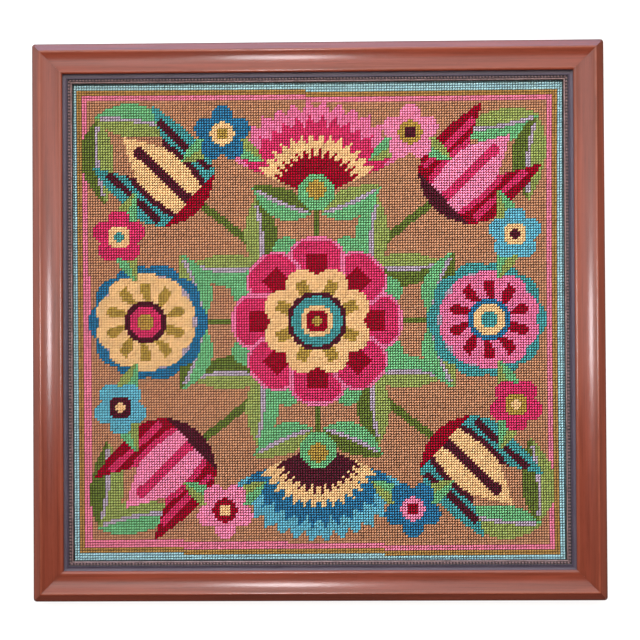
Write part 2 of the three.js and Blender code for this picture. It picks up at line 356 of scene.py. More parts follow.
def wood_material():
    m, nt, bsdf = material("stained_wood")
    at = node(nt, "ShaderNodeAttribute", attribute_name="grain")
    ends = node(nt, "ShaderNodeAttribute", attribute_name="joint")
    # ridge: wear on the nose and crest above zero, painted shade at the outer rim below zero
    wear_and_rim_shade = node(nt, "ShaderNodeAttribute", attribute_name="ridge")
    painted_shade = node(nt, "ShaderNodeAttribute", attribute_name="painted_shade")
    v = at.outputs["Vector"]
    broad = noise(nt, scaled(nt, v, (5, 90, 1)), 1.0, 3.0, 0.55, 0.4)
    streak = noise(nt, scaled(nt, v, (14, 620, 1)), 1.0, 4.0, 0.6, 0.3)
    pore = noise(nt, scaled(nt, v, (90, 2600, 1)), 1.0, 2.0, 0.5)
    tone = ramp(nt, broad, ((0.3, rgba(0x56281B)), (0.55, rgba(0x622D1F)), (0.75, rgba(0x6D3423))))
    fine = ramp(nt, streak, ((0.28, (0.66, 0.62, 0.60, 1)), (0.5, (1.0, 1.0, 1.0, 1)), (0.75, (1.16, 1.15, 1.14, 1))))
    col = mix(nt, "MULTIPLY", 0.75, tone, fine)
    dots = ramp(nt, pore, ((0.30, (0.60, 0.55, 0.52, 1)), (0.40, (1, 1, 1, 1))))
    col = mix(nt, "MULTIPLY", 0.5, col, dots)
    rub = maths(nt, "MULTIPLY", maths(nt, "MAXIMUM", wear_and_rim_shade.outputs["Fac"], 0.0), ramp(nt, noise(nt, scaled(nt, v, (60, 60, 60)), 1.0, 3.0), ((0.35, 0.3), (0.65, 0.75))))
    col = mix(nt, "MIX", rub, col, rgba(0x77412E))
    # painted shade: darker along the outer edge and foot, where the ridge value is below zero
    rim_shade = maths(nt, "MAXIMUM", maths(nt, "MULTIPLY", wear_and_rim_shade.outputs["Fac"], -1.0), 0.0)
    col = mix(nt, "MULTIPLY", rim_shade, col, (0.48, 0.50, 0.54, 1))
    # painted shade where the light falls off along the members, from a weight on each point
    col = mix(nt, "MULTIPLY", painted_shade.outputs["Fac"], col, (0.5, 0.5, 0.5, 1))
    seam = ramp(nt, ends.outputs["Fac"], ((0.0, (0.70, 0.66, 0.64, 1)), (0.0006, (1, 1, 1, 1))))
    col = mix(nt, "MULTIPLY", 0.3, col, seam)
    nt.links.new(col, bsdf.inputs["Base Color"])
    nt.links.new(ramp(nt, streak, ((0.2, 0.28), (0.8, 0.23))), bsdf.inputs["Roughness"])
    bsdf.inputs["Specular IOR Level"].default_value = 0.05
    bsdf.inputs["Coat Weight"].default_value = 0.37
    bsdf.inputs["Coat Roughness"].default_value = 0.15
    bsdf.inputs["Coat IOR"].default_value = 1.5
    h = mix(nt, "MIX", 0.35, streak, pore)
    nt.links.new(bump(nt, h, 0.22, 0.00012), bsdf.inputs["Normal"])
    nt.links.new(bump(nt, streak, 0.12, 0.00010), bsdf.inputs["Coat Normal"])
    return m


def paint_material():
    m, nt, bsdf = material("painted_slip")
    at = node(nt, "ShaderNodeAttribute", attribute_name="grain")
    low = node(nt, "ShaderNodeAttribute", attribute_name="hollow_shade")
    v = at.outputs["Vector"]
    cloud = noise(nt, scaled(nt, v, (40, 300, 1)), 1.0, 4.0, 0.6)
    speck = noise(nt, scaled(nt, v, (900, 1500, 400)), 1.0, 3.0, 0.6)
    col = ramp(nt, cloud, ((0.3, rgba(0x2C2734)), (0.55, rgba(0x342E3B)), (0.75, rgba(0x3B3641))))
    col = mix(nt, "MULTIPLY", 0.6, col, ramp(nt, speck, ((0.3, 0.72), (0.5, 1.0), (0.72, 1.12))))
    # painted shade in the slip's hollows: the groove, the cove's ends and under the lip
    col = mix(nt, "MULTIPLY", low.outputs["Fac"], col, (0.25, 0.22, 0.24, 1))
    nt.links.new(col, bsdf.inputs["Base Color"])
    nt.links.new(ramp(nt, speck, ((0.3, 0.52), (0.7, 0.40))), bsdf.inputs["Roughness"])
    bsdf.inputs["Specular IOR Level"].default_value = 0.3
    nt.links.new(bump(nt, speck, 0.25, 0.00008), bsdf.inputs["Normal"])
    return m


def bead_material():
    m, nt, bsdf = material("bead_row")
    at = node(nt, "ShaderNodeAttribute", attribute_name="grain")
    low = node(nt, "ShaderNodeAttribute", attribute_name="hollow_shade")
    speck = noise(nt, scaled(nt, at.outputs["Vector"], (420, 700, 300)), 1.0, 3.0, 0.6)
    col = ramp(nt, speck, ((0.3, rgba(0x4C3E40)), (0.5, rgba(0x604C4D)), (0.75, rgba(0x735E5D))))
    # painted shade between the beads, under them, and over the top side's beads
    col = mix(nt, "MULTIPLY", low.outputs["Fac"], col, (0.08, 0.07, 0.08, 1))
    nt.links.new(col, bsdf.inputs["Base Color"])
    nt.links.new(ramp(nt, speck, ((0.3, 0.50), (0.7, 0.36))), bsdf.inputs["Roughness"])
    bsdf.inputs["Specular IOR Level"].default_value = 0.3
    nt.links.new(bump(nt, speck, 0.2, 0.00008), bsdf.inputs["Normal"])
    return m


def sight_material():
    m, nt, bsdf = material("sight_edge")
    at = node(nt, "ShaderNodeAttribute", attribute_name="grain")
    rub = noise(nt, scaled(nt, at.outputs["Vector"], (120, 900, 300)), 1.0, 4.0, 0.65)
    col = ramp(nt, rub, ((0.3, rgba(0x463938)), (0.5, rgba(0x604F4E)), (0.75, rgba(0x766565))))
    nt.links.new(col, bsdf.inputs["Base Color"])
    nt.links.new(ramp(nt, rub, ((0.3, 0.48), (0.7, 0.34))), bsdf.inputs["Roughness"])
    bsdf.inputs["Specular IOR Level"].default_value = 0.3
    bsdf.inputs["Metallic"].default_value = 0.35
    nt.links.new(bump(nt, rub, 0.2, 0.00008), bsdf.inputs["Normal"])
    return m


def wall_material():
    m, nt, bsdf = material("slip_wall")
    at = node(nt, "ShaderNodeAttribute", attribute_name="grain")
    rub = noise(nt, scaled(nt, at.outputs["Vector"], (60, 500, 300)), 1.0, 4.0, 0.65)
    # near black: partly dark paint on the sight edge's inner bevel, partly painted shade for the shadow line down to
    # the canvas
    col = ramp(nt, rub, ((0.3, rgba(0x1B1819)), (0.7, rgba(0x2B2828))))
    nt.links.new(col, bsdf.inputs["Base Color"])
    nt.links.new(ramp(nt, rub, ((0.3, 0.75), (0.7, 0.6))), bsdf.inputs["Roughness"])
    bsdf.inputs["Specular IOR Level"].default_value = 0.3
    nt.links.new(bump(nt, rub, 0.2, 0.0001), bsdf.inputs["Normal"])
    return m


def wool_material(name="stitched_wool", gain=1.0):
    m, nt, bsdf = material(name)
    dye = node(nt, "ShaderNodeAttribute", attribute_name="Yarn")
    pos = node(nt, "ShaderNodeTexCoord").outputs["Object"]
    along = scaled(nt, pos, (700, 3800, 1500), (0, 0, -math.pi / 4))
    fibre = noise(nt, along, 1.0, 3.0, 0.6, 0.3)
    ply = noise(nt, scaled(nt, pos, (900, 1900, 900), (0, 0, -math.radians(68))), 1.0, 1.0, 0.5)
    fuzz = noise(nt, pos, 5200.0, 2.0, 0.6)
    col = mix(nt, "MULTIPLY", 0.8, dye.outputs["Color"], ramp(nt, fibre, ((0.25, 0.80), (0.5, 1.0), (0.78, 1.18))))
    col = mix(nt, "MULTIPLY", 0.5, col, ramp(nt, ply, ((0.3, 0.88), (0.6, 1.10))))
    nt.links.new(col, bsdf.inputs["Base Color"])
    nt.links.new(ramp(nt, fuzz, ((0.3, 0.98), (0.7, 0.84))), bsdf.inputs["Roughness"])
    bsdf.inputs["Specular IOR Level"].default_value = 0.0
    n = bump(nt, fibre, 0.55, 0.00022)
    nt.links.new(bump(nt, fuzz, 0.25, 0.00010, n), bsdf.inputs["Normal"])
    return m


def ground_material(name, low, middle, high):
    """Cotton canvas mesh: over-and-under threads at the stitches' pitch."""
    m, nt, bsdf = material(name)
    pos = node(nt, "ShaderNodeTexCoord").outputs["Object"]
    w1 = node(nt, "ShaderNodeTexWave", wave_type="BANDS", bands_direction="X", Scale=1.0, Distortion=0.6, Detail=1.0)
    w1.inputs["Detail Scale"].default_value = 2.0
    nt.links.new(scaled(nt, pos, (149, 149, 149)), w1.inputs["Vector"])
    w2 = node(nt, "ShaderNodeTexWave", wave_type="BANDS", bands_direction="Y", Scale=1.0, Distortion=0.6, Detail=1.0)
    w2.inputs["Detail Scale"].default_value = 2.0
    nt.links.new(scaled(nt, pos, (149, 149, 149)), w2.inputs["Vector"])
    mesh = maths(nt, "MAXIMUM", w1.outputs["Fac"], w2.outputs["Fac"])
    slub = noise(nt, scaled(nt, pos, (500, 500, 500)), 1.0, 3.0, 0.6)
    col = ramp(nt, mesh, ((0.2, rgba(low)), (0.6, rgba(middle)), (0.95, rgba(high))))
    col = mix(nt, "MULTIPLY", 0.6, col, ramp(nt, slub, ((0.3, 0.78), (0.7, 1.05))))
    nt.links.new(col, bsdf.inputs["Base Color"])
    nt.links.new(ramp(nt, slub, ((0.3, 0.95), (0.7, 0.85))), bsdf.inputs["Roughness"])
    nt.links.new(bump(nt, mesh, 0.6, 0.0003), bsdf.inputs["Normal"])
    return m


WOOD = wood_material()
PAINT = paint_material()
BEADS = bead_material()
SIGHT = sight_material()
WALL = wall_material()
WOOL = wool_material()
# painted shade: the bare canvas under the wool is the cotton canvas made near black, for the deep shade in the holes
SHADED_GROUND = ground_material("canvas_under_wool_painted_shade", 0x060403, 0x0E0A07, 0x18120C)
COTTON = ground_material("cotton_canvas", 0x4F4335, 0xA08C70, 0xC4B294)

# ------------------------------------------------------------------ moulding


def scoop_z(u):
    def sag(d):
        return SCOOP_RADIUS - math.sqrt(SCOOP_RADIUS ** 2 - d ** 2)
    return CREST_Z - sag(SCOOP_LOW_U - CREST_U) + sag(u - SCOOP_LOW_U)


def on_arc(middle, radius, a):
    """Point of an arc whose face leans inwards by the angle a there."""
    return (middle[0] + radius * math.sin(a), middle[1] + radius * math.cos(a))


def crest_arcs():
    """The eased crest: lean of the slope and of the scoop beside it, and the
    middles of the tight turn out of the slope and the slow roll to the scoop."""
    slope = math.atan2(CREST_Z - SIDE_HEIGHT, CREST_U)
    middle = (SCOOP_LOW_U, scoop_z(SCOOP_LOW_U) + SCOOP_RADIUS)
    low, high = 0.0, CREST_U / math.cos(slope)
    for _ in range(60):
        s = (low + high) / 2
        edge = on_arc((s * math.cos(slope), SIDE_HEIGHT + s * math.sin(slope)), -CREST_EDGE, -slope)
        roll = on_arc(edge, CREST_EDGE - CREST_ROLL, CREST_TURN)
        if math.hypot(roll[0] - middle[0], roll[1] - middle[1]) > SCOOP_RADIUS + CREST_ROLL:
            low = s
        else:
            high = s
    return slope, math.asin((middle[0] - roll[0]) / (SCOOP_RADIUS + CREST_ROLL)), edge, roll


def moulding_section():
    """(u, z, ridge) round the section, from the back's outer edge; ridge above zero is wear on the nose and crest,
    below zero painted shade at the outer rim.
    """
    pts = [(0.5, 0.0, 0), (4.0, 0, 0), (10.0, 0, 0), (RABBET_U - 0.3, 0.0, 0), (RABBET_U, 0.3, 0),
           (RABBET_U, 5.0, 0), (RABBET_U, 10.0, 0), (RABBET_U, RABBET_Z, 0), (20.5, RABBET_Z, 0)]
    pts += [(LIP_INNER_U - 0.2, RABBET_Z, 0), (LIP_INNER_U, RABBET_Z + 0.2, 0)]

    def arc(middle, radius, start, stop, steps, first, worn):
        for k in range(first, steps + 1):
            a = start + (stop - start) * k / steps
            pts.append((*on_arc(middle, radius, a), worn * max(0.0, 1 - abs(a - 0.1) / 0.35)))
    # the rounded nose, the scoop, the eased crest and the outer slope
    lean = -math.asin((NOSE_START_U - SCOOP_LOW_U) / SCOOP_RADIUS)
    rolled = on_arc((NOSE_START_U, scoop_z(NOSE_START_U)), -NOSE_ROLL, lean)
    passed = on_arc(rolled, NOSE_ROLL, NOSE_TURN)
    tight = (LIP_INNER_U - passed[0]) / (1 - math.sin(NOSE_TURN))
    arc(on_arc(passed, -tight, NOSE_TURN), tight, math.pi / 2, NOSE_TURN, 8, 0, 0.5)
    arc(rolled, NOSE_ROLL, NOSE_TURN, lean, 8, 1, 0.5)
    slope, scoop, edge, roll = crest_arcs()
    end = on_arc(roll, CREST_ROLL, scoop)[0]
    for k in range(1, 40):
        u = NOSE_START_U + (end - NOSE_START_U) * k / 40
        pts.append((u, scoop_z(u), 0.0))
    arc(roll, CREST_ROLL, scoop, CREST_TURN, 6, 0, 1.0)
    arc(edge, CREST_EDGE, CREST_TURN, -slope, 7, 1, 1.0)
    out = pts[-1][0]
    # the outer slope and the foot: ridge below zero, painted shade towards the outer rim
    for k in range(1, 12):
        u = out + (0.3 - out) * k / 11
        pts.append((u, SIDE_HEIGHT + u * math.tan(slope), -0.7 * max(0.0, 1 - (u - 0.3) / 1.1)))
    foot = SIDE_HEIGHT + 0.3 * math.tan(slope)
    for k in range(1, 7):
        q = k / 6
        pts.append(((1 - q) ** 2 * 0.3, (1 - q) ** 2 * foot + 2 * q * (1 - q) * SIDE_HEIGHT + q * q * (SIDE_HEIGHT - 0.4), -0.8))
    pts += [(0, 10.0, -0.1), (0, 5.0, 0), (0, 0.5, 0.4)]
    return np.array(pts)


def run_stations(length, us, radius, trim, mid_steps, end_steps):
    """Plan points (stations, section points, xy) of a mitred run on the bottom
    side, offset curves round the eased corner at both ends. y is measured from
    the outer side."""
    rows = []
    hold = 3.0
    span = length / 2 - trim - np.maximum(us, radius) - hold
    for k in range(mid_steps + 1):
        q = -1 + 2 * k / mid_steps
        rows.append(np.stack([span * q, us], 1))
    ends = []
    for k in range(1, end_steps + 1):
        q = k / end_steps
        r = np.maximum(radius - us, 0.0)
        arc = r * math.pi / 4
        d = q * (hold + arc)
        straight = np.minimum(d, hold)
        phi = np.where(r > 1e-6, np.maximum(d - hold, 0) / np.maximum(r, 1e-6), 0.0)
        x = span + straight + r * np.sin(phi)
        y = us + r - r * np.cos(phi)
        ends.append(np.stack([x, y], 1))
    left = [np.stack([-e[:, 0], e[:, 1]], 1) for e in ends[::-1]]
    return np.array(left + rows + ends)


def turned(points, turn):
    c, s = math.cos(turn), math.sin(turn)
    out = np.array(points, float)
    out[..., 0] = c * points[..., 0] - s * points[..., 1]
    out[..., 1] = s * points[..., 0] + c * points[..., 1]
    return out


def swept(section_n, stations):
    """Side quads of a closed section swept through its stations, and two end
    caps; each face turned out."""
    faces = []
    for a in range(stations - 1):
        for b in range(section_n):
            c = (b + 1) % section_n
            faces.append((a * section_n + b, a * section_n + c, (a + 1) * section_n + c, (a + 1) * section_n + b))
    faces.append(tuple(range(section_n - 1, -1, -1)))
    faces.append(tuple((stations - 1) * section_n + b for b in range(section_n)))
    return faces


def outward(obj):
    """Turns every face out."""
    import bmesh
    bm = bmesh.new()
    bm.from_mesh(obj.data)
    bmesh.ops.recalc_face_normals(bm, faces=bm.faces)
    bm.to_mesh(obj.data)
    bm.free()


def moulding(side, turn, length, reach, number):
    sec = moulding_section()
    us, zs, ridge = sec[:, 0], sec[:, 1], sec[:, 2]
    n = len(sec)
    plan = run_stations(length, us, CORNER_RADIUS, HAIRLINE * math.sqrt(2), 24, 5)
    count = len(plan)
    xyz = np.empty((count, n, 3))
    xyz[..., 0] = plan[..., 0]
    xyz[..., 1] = plan[..., 1] - reach
    xyz[..., 2] = zs[None, :]
    # the section's own length, for grain that runs along the wood
    step = np.hypot(np.diff(us, append=us[0]), np.diff(zs, append=zs[0]))
    across = np.concatenate([[0], np.cumsum(step)[:-1]])
    grain = np.empty((count, n, 3))
    grain[..., 0] = plan[..., 0] + 700 * number
    grain[..., 1] = across[None, :] + 37 * number
    grain[..., 2] = 5.0 * number
    joint = (length / 2 - us)[None, :] - np.abs(plan[..., 0])
    joint = np.clip(joint, 0, 1000)
    verts = turned(xyz, turn).reshape(-1, 3)
    # painted shade, where the light falls off: the lower and upper ends of the two side members, and the top and right
    # outer slopes
    low = np.clip(-2.2 * verts[:, 1] / FRAME_HEIGHT, 0, 1)
    high = np.clip((verts[:, 1] / FRAME_HEIGHT - 0.25) / 0.2, 0, 1)
    outer = np.broadcast_to(np.clip((CREST_U - us) / 0.8, 0, 1), (count, n)).ravel()
    painted_shade = {"left": 0.30, "right": 0.16}.get(side, 0.0) * low + {"left": 0.33, "right": 0.4}.get(side, 0.0) * high
    painted_shade = painted_shade + {"top": 0.48, "right": 0.14}.get(side, 0.0) * outer
    obj = new_object(f"moulding_{side}", verts, swept(n, count), [WOOD])
    outward(obj)
    obj.data.shade_smooth()
    obj.data.set_sharp_from_angle(angle=math.radians(38))
    point_attribute(obj, "grain", "FLOAT_VECTOR", grain.reshape(-1, 3) * MM)
    point_attribute(obj, "joint", "FLOAT", joint.ravel() * MM)
    point_attribute(obj, "ridge", "FLOAT", np.broadcast_to(ridge, (count, n)).ravel())
    point_attribute(obj, "painted_shade", "FLOAT", painted_shade)
    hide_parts(f"frame_{side}")
    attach(obj, "root")
    return obj


# ------------------------------------------------------------------ slip


def slip_section():
    """(u, z, shade, zone) round the section; shade is painted shade in the groove, at the cove's ends
    and under the lip; zone 0 paint, 1 sight edge, 2 inner bevel, of the face that starts at the point."""
    pts = [(SLIP_BACK_U, SLIP_BOTTOM_Z, 0, 0), (24.0, SLIP_BOTTOM_Z, 0, 0), (SIGHT_U - 0.2, SLIP_BOTTOM_Z, 0, 2),
           (SIGHT_U, SLIP_BOTTOM_Z + 0.2, 0, 2), (SIGHT_U, BEVEL_FOOT_Z, 0, 2)]
    for k in range(9):
        a = k / 8 * math.pi / 2
        pts.append((SIGHT_EDGE_U - SIGHT_EASE + SIGHT_EASE * math.cos(a),
                    SIGHT_TOP_Z - SIGHT_ROUND + SIGHT_ROUND * math.sin(a), 0, 2 if k < 2 else 1))
    pts += [(SIGHT_START_U + 0.2, SIGHT_TOP_Z - 0.02, 0, 1), (SIGHT_START_U + 0.03, SIGHT_TOP_Z - 0.1, 0.2, 1),
            (SIGHT_START_U - 0.02, SLIP_GROOVE_Z + 0.05, 1, 0), (SIGHT_START_U - 0.12, SLIP_GROOVE_Z, 1, 0),
            (BEAD_LINE_U, SLIP_GROOVE_Z - 0.05, 1, 0), (SLIP_GROOVE_U + 0.1, SLIP_GROOVE_Z, 1, 0),
            (SLIP_GROOVE_U - 0.02, SLIP_GROOVE_Z + 0.08, 0.8, 0), (SLIP_COVE_END_U + 0.12, SLIP_COVE_END_Z - 0.12, 0.1, 0)]
    for k in range(15):
        q = k / 14
        pts.append((SLIP_COVE_END_U + (SLIP_COVE_U - SLIP_COVE_END_U) * q,
                    SLIP_COVE_END_Z + (SLIP_TOP_Z - SLIP_COVE_END_Z) * q - 0.02
                    - SLIP_COVE_DEPTH * math.sin(math.pi * min(1, q * 0.98 + 0.01)) ** 0.8,
                    0.0 if q < 0.7 else 0.3 * (q - 0.7), 0))
    pts += [(22.0, SLIP_TOP_Z, 0.3, 0), (SLIP_BACK_U + 0.2, SLIP_TOP_Z, 0.3, 0), (SLIP_BACK_U, SLIP_TOP_Z - 0.2, 0.3, 0)]
    return np.array(pts)


def bead_form():
    """One long bead, standing in its groove: unit verts and quads/tris."""
    rings, sides = 5, 8
    verts, faces = [], []
    for r in range(1, rings):
        a = -math.pi / 2 + math.pi * r / rings
        for k in range(sides):
            b = 2 * math.pi * k / sides
            verts.append((math.sin(a), math.cos(a) * math.cos(b), math.cos(a) * math.sin(b)))
    n = len(verts)
    verts += [(-1, 0, 0), (1, 0, 0)]
    for r in range(rings - 2):
        for k in range(sides):
            k2 = (k + 1) % sides
            faces.append((r * sides + k, r * sides + k2, (r + 1) * sides + k2, (r + 1) * sides + k))
    for k in range(sides):
        k2 = (k + 1) % sides
        faces.append((n, k2, k))
        faces.append((n + 1, (rings - 2) * sides + k, (rings - 2) * sides + k2))
    return np.array(verts), faces


def beaded_slip(side, turn, length, reach, number):
    sec = slip_section()
    us, zs, hollow_shade, zone = sec.T
    # on the top side: less painted shade on the cove's inner end and groove flank, which the light reaches, and more on
    # its beads, which lie in shadow
    upper = side == "top"
    if upper:
        hollow_shade = np.where((us > SLIP_COVE_END_U) & (us < SLIP_GROOVE_U + 0.05), 0.3, 1.0) * hollow_shade
    n = len(sec)
    trim = HAIRLINE * math.sqrt(2)
    plan = run_stations(length, us, 0.0, trim, 16, 1)
    count = len(plan)
    xyz = np.empty((count, n, 3))
    xyz[..., 0] = plan[..., 0]
    xyz[..., 1] = plan[..., 1] - reach
    xyz[..., 2] = zs[None, :]
    step = np.hypot(np.diff(us, append=us[0]), np.diff(zs, append=zs[0]))
    across = np.concatenate([[0], np.cumsum(step)[:-1]])
    grain = np.empty((count, n, 3))
    grain[..., 0] = plan[..., 0] + 600 * number
    grain[..., 1] = across[None, :] + 23 * number
    grain[..., 2] = 3.0 * number
    verts = [xyz.reshape(-1, 3)]
    grains = [grain.reshape(-1, 3)]
    hollow_shades = [np.broadcast_to(hollow_shade, (count, n)).ravel()]
    faces = swept(n, count)
    slots = [int(zone[b]) for _ in range(count - 1) for b in range(n)] + [0, 0]
    # the beads, evened out between the two mitres
    unit, bead_faces = bead_form()
    half = length / 2 - BEAD_LINE_U
    beads = int(round(2 * half / BEAD_PITCH))
    pitch = 2 * half / beads
    base = count * n
    for k in range(beads):
        x0 = -half + pitch * (k + 0.5)
        size = 1 + RNG.uniform(-0.05, 0.05)
        b = unit * np.array([pitch * 0.475, BEAD_RADIUS * 0.9 * size, BEAD_RADIUS * (1 + RNG.uniform(-0.04, 0.04))])
        b[:, 2] = np.maximum(b[:, 2], -0.35)
        b = b + np.array([x0 + RNG.uniform(-0.05, 0.05), BEAD_LINE_U + 0.1 - reach + RNG.uniform(-0.04, 0.04), SLIP_GROOVE_Z - 0.02])
        verts.append(b)
        g = b.copy()
        g[:, 0] += 600 * number
        g[:, 2] += 3.0 * number + 0.7 * k
        grains.append(g)
        # painted shade at each bead's ends and underside, more on the top side's beads
        hollow_shades.append(np.clip((np.abs(unit[:, 0]) - 0.3) / 0.4, 0, 1) * 0.9 + 0.1 * np.clip(0.35 - unit[:, 2], 0, 1) + 0.22 * upper)
        faces += [tuple(base + i for i in f) for f in bead_faces]
        slots += [3] * len(bead_faces)
        base += len(unit)
    allv = turned(np.concatenate(verts), turn)
    obj = new_object(f"beaded_slip_{side}", allv, faces, [PAINT, SIGHT, WALL, BEADS])
    obj.data.polygons.foreach_set("material_index", np.array(slots, np.int32))
    outward(obj)
    obj.data.shade_smooth()
    obj.data.set_sharp_from_angle(angle=math.radians(50))
    point_attribute(obj, "grain", "FLOAT_VECTOR", np.concatenate(grains) * MM)
    point_attribute(obj, "hollow_shade", "FLOAT", np.clip(np.concatenate(hollow_shades), 0, 1))
    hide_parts(f"slip_{side}")
    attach(obj, "root")
    return obj


MOULDINGS = [moulding(s, t, l, r, k) for k, (s, t, l, r) in enumerate(SIDES)]
SLIPS = [beaded_slip(s, t, l, r, k) for k, (s, t, l, r) in enumerate(SIDES)]

# ------------------------------------------------------------------ canvas
# The holes of the canvas, a little pulled out of square as it was stretched.


def hole_grid():
    i = np.arange(NX + 1)[:, None] + np.zeros((1, NY + 1))
    j = np.arange(NY + 1)[None, :] + np.zeros((NX + 1, 1))
    xn, yn = (i - NX / 2) * 2.115 / 190, (j - NY / 2) * 2.096 / 190
    left = -195.6 - 0.85 * yn - 0.10 * yn ** 2
    right = 193.6 + 0.15 * yn + 1.2 * yn ** 2
    low = -188.9 + 0.9 * xn
    high = 188.3 + 0.5 * xn ** 2
    x = left + (right - left) * (i - EDGE) / (NX - 2 * EDGE)
    y = low + (high - low) * (j - EDGE) / (NY - 2 * EDGE)
    return x, y


CHART = stitch_chart()
HX, HY = hole_grid()
SHADES = np.array([linear(code) for code in YARN.values()])
# power of the painted shade down a strand's sides and ends, one a yarn: weak for pale wool, whose hollows bounced light
# fills
STRAND_SHADE_POWER = {"tan": 1.1, "hot": 3.6, "pink": 0.95, "rose": 0.65, "blush": 1.2, "ochre": 1.6, "cream": 0.05, "crimson": 10.0, "plum": 12.0,
        "moss": 5.5, "blue": 4.4, "teal": 4.0, "green": 0.65, "sky": 0.65, "mustard": 1.6, "aqua": 1.9}
STRAND_SHADE_POWER = np.array([STRAND_SHADE_POWER.get(name, 0.8) for name in YARN])


def dyed():
    """One colour a stitch: the yarn's shade, uneven as wool is."""
    col = SHADES[CHART]
    light = RNG.normal(1.0, 0.055, CHART.shape)
    # each needleful differs a little from the next along its row
    needle = np.repeat(RNG.normal(1.0, 0.035, (NX // 16 + 1, NY)), 16, 0)[:NX]
    warm = RNG.normal(0.0, 0.018, CHART.shape)
    col = col * (light * needle)[..., None]
    col = col * np.stack([1 + warm, np.ones_like(warm), 1 - warm], -1)
    return np.clip(col, 0.003, 0.98)


DYE = dyed()


def stitch_block(name, i0, i1, j0, j1):
    """Tent stitches of one block of the chart, each a plump closed strand from
    its lower left hole to its upper right one, its ends drawn down the holes."""
    ii, jj = np.meshgrid(np.arange(i0, i1), np.arange(j0, j1), indexing="ij")
    ii, jj = ii.ravel(), jj.ravel()
    m = len(ii)
    rng = np.random.default_rng(1000 + i0 * 7 + j0)
    a = np.stack([HX[ii, jj], HY[ii, jj]], 1)
    b = np.stack([HX[ii + 1, jj + 1], HY[ii + 1, jj + 1]], 1)
    a += rng.normal(0, 0.05, a.shape)
    b += rng.normal(0, 0.05, b.shape)
    d = b - a
    run = np.linalg.norm(d, axis=1, keepdims=True)
    e1 = d / run
    e2 = np.stack([-e1[:, 1], e1[:, 0]], 1)
    wide = rng.normal(1.0, 0.06, m) * np.where(CHART[ii, jj] == SHADE["cream"], 1.1, 1.0)
    tall = np.clip(rng.normal(1.0, 0.05, m), 0.88, 1.06)
    lean = rng.normal(0, 0.05, m)
    blunt = np.where(CHART[ii, jj] == SHADE["cream"], 0.06, 0.0)
    # along the strand: place, half width, height of its side and of its crown
    along = ((0.21, 0.59, 10.85, 11.47), (0.5, 0.77, 11.05, 11.88), (0.79, 0.59, 10.85, 11.47))
    verts = np.empty((m, 14, 3))
    for r, (t, w, side, crown) in enumerate(along):
        at = a + d * (t + (r - 1) * blunt)[:, None] + e2 * (lean * (1.0 if r == 1 else 0.4))[:, None]
        for k, (q, z) in enumerate(((-1.0, side), (-0.5, crown), (0.5, crown), (1.0, side))):
            off = (w * wide * q)[:, None]
            verts[:, r * 4 + k, :2] = at + e2 * off
            verts[:, r * 4 + k, 2] = GROUND_TOP_Z + (z - GROUND_TOP_Z) * (tall if z == crown else 1.0)
    verts[:, 12, :2] = a + e1 * 0.06
    verts[:, 13, :2] = b - e1 * 0.06
    verts[:, 12:, 2] = GROUND_TOP_Z - 0.06
    quads = []
    for r in (0, 1):
        for k in range(4):
            k2 = (k + 1) % 4
            quads.append((r * 4 + k, r * 4 + k2, (r + 1) * 4 + k2, (r + 1) * 4 + k))
    tris = [(12, (k + 1) % 4, k) for k in range(4)] + [(13, 8 + k, 8 + (k + 1) % 4) for k in range(4)]
    nf = len(quads) + len(tris)
    mesh = bpy.data.meshes.new(name)
    mesh.vertices.add(m * 14)
    mesh.vertices.foreach_set("co", (verts.reshape(-1, 3) * MM).astype(np.float32).ravel())
    pattern = np.array([v for q in quads for v in q] + [v for t in tris for v in t], np.int64)
    loops = (pattern[None, :] + (np.arange(m) * 14)[:, None]).ravel()
    sizes = np.array([4] * len(quads) + [3] * len(tris))
    starts = np.concatenate([[0], np.cumsum(sizes)[:-1]])
    mesh.loops.add(len(loops))
    mesh.loops.foreach_set("vertex_index", loops.astype(np.int32))
    mesh.polygons.add(m * nf)
    mesh.polygons.foreach_set("loop_start", (starts[None, :] + (np.arange(m) * len(pattern))[:, None]).ravel().astype(np.int32))
    mesh.update(calc_edges=True)
    mesh.validate()
    mesh.materials.append(WOOL)
    mesh.shade_smooth()
    obj = bpy.data.objects.new(name, mesh)
    bpy.context.scene.collection.objects.link(obj)
    colour = np.ones((m, 14, 4), np.float32)
    # painted shade: the ends deep in the holes and the sides of each strand are darkened, more for dark wool and in its
    # weaker channels
    vertex_shade = np.array([0.62, 0.92, 0.92, 0.62, 0.78, 1.0, 1.0, 0.78, 0.62, 0.92, 0.92, 0.62, 0.25, 0.25])
    dye = DYE[ii, jj]
    power = STRAND_SHADE_POWER[CHART[ii, jj]][:, None] * (1 + 0.8 * (1 - dye / dye.max(1, keepdims=True)))
    stitch_shade = vertex_shade[None, :, None] ** power[:, None, :]
    # and painted shadow: the outermost rows are darkened where they run in under the slip, over a wider band on the
    # right
    inset = np.minimum(FRAME_WIDTH / 2 - np.abs(verts[..., 0]) - 0.45 * (verts[..., 0] > 0),
                       FRAME_HEIGHT / 2 - np.abs(verts[..., 1]))
    stitch_shade = stitch_shade * np.clip(0.15 + 0.85 * (inset - SIGHT_U + 0.45) / 1.25, 0.15, 1)[..., None]
    colour[..., :3] = np.clip(dye[:, None, :] * stitch_shade, 0, 1)
    point_attribute(obj, "Yarn", "FLOAT_COLOR", colour.reshape(-1, 4))
    # flat map of the face for baking, undersides kept apart from the tops
    co = verts.reshape(-1, 3)
    lo, hi = co[:, :2].min(0), co[:, :2].max(0)
    uv = (co[loops, :2] - lo) / (hi - lo)
    under = np.zeros(len(pattern), bool)
    for f, q in enumerate(quads):
        if f % 4 == 3:
            under[f * 4:f * 4 + 4] = True
    for f, t in enumerate(tris):
        if f % 4 == 3:
            under[len(quads) * 4 + f * 3:len(quads) * 4 + f * 3 + 3] = True
    under = np.tile(under, m)
    uv[:, 1] = np.where(under, 0.962 + 0.036 * uv[:, 1], 0.955 * uv[:, 1])
    layer = mesh.uv_layers.new(name="OFBake")
    layer.uv.foreach_set("vector", uv.astype(np.float32).ravel())
    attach(obj, "root")
    return obj


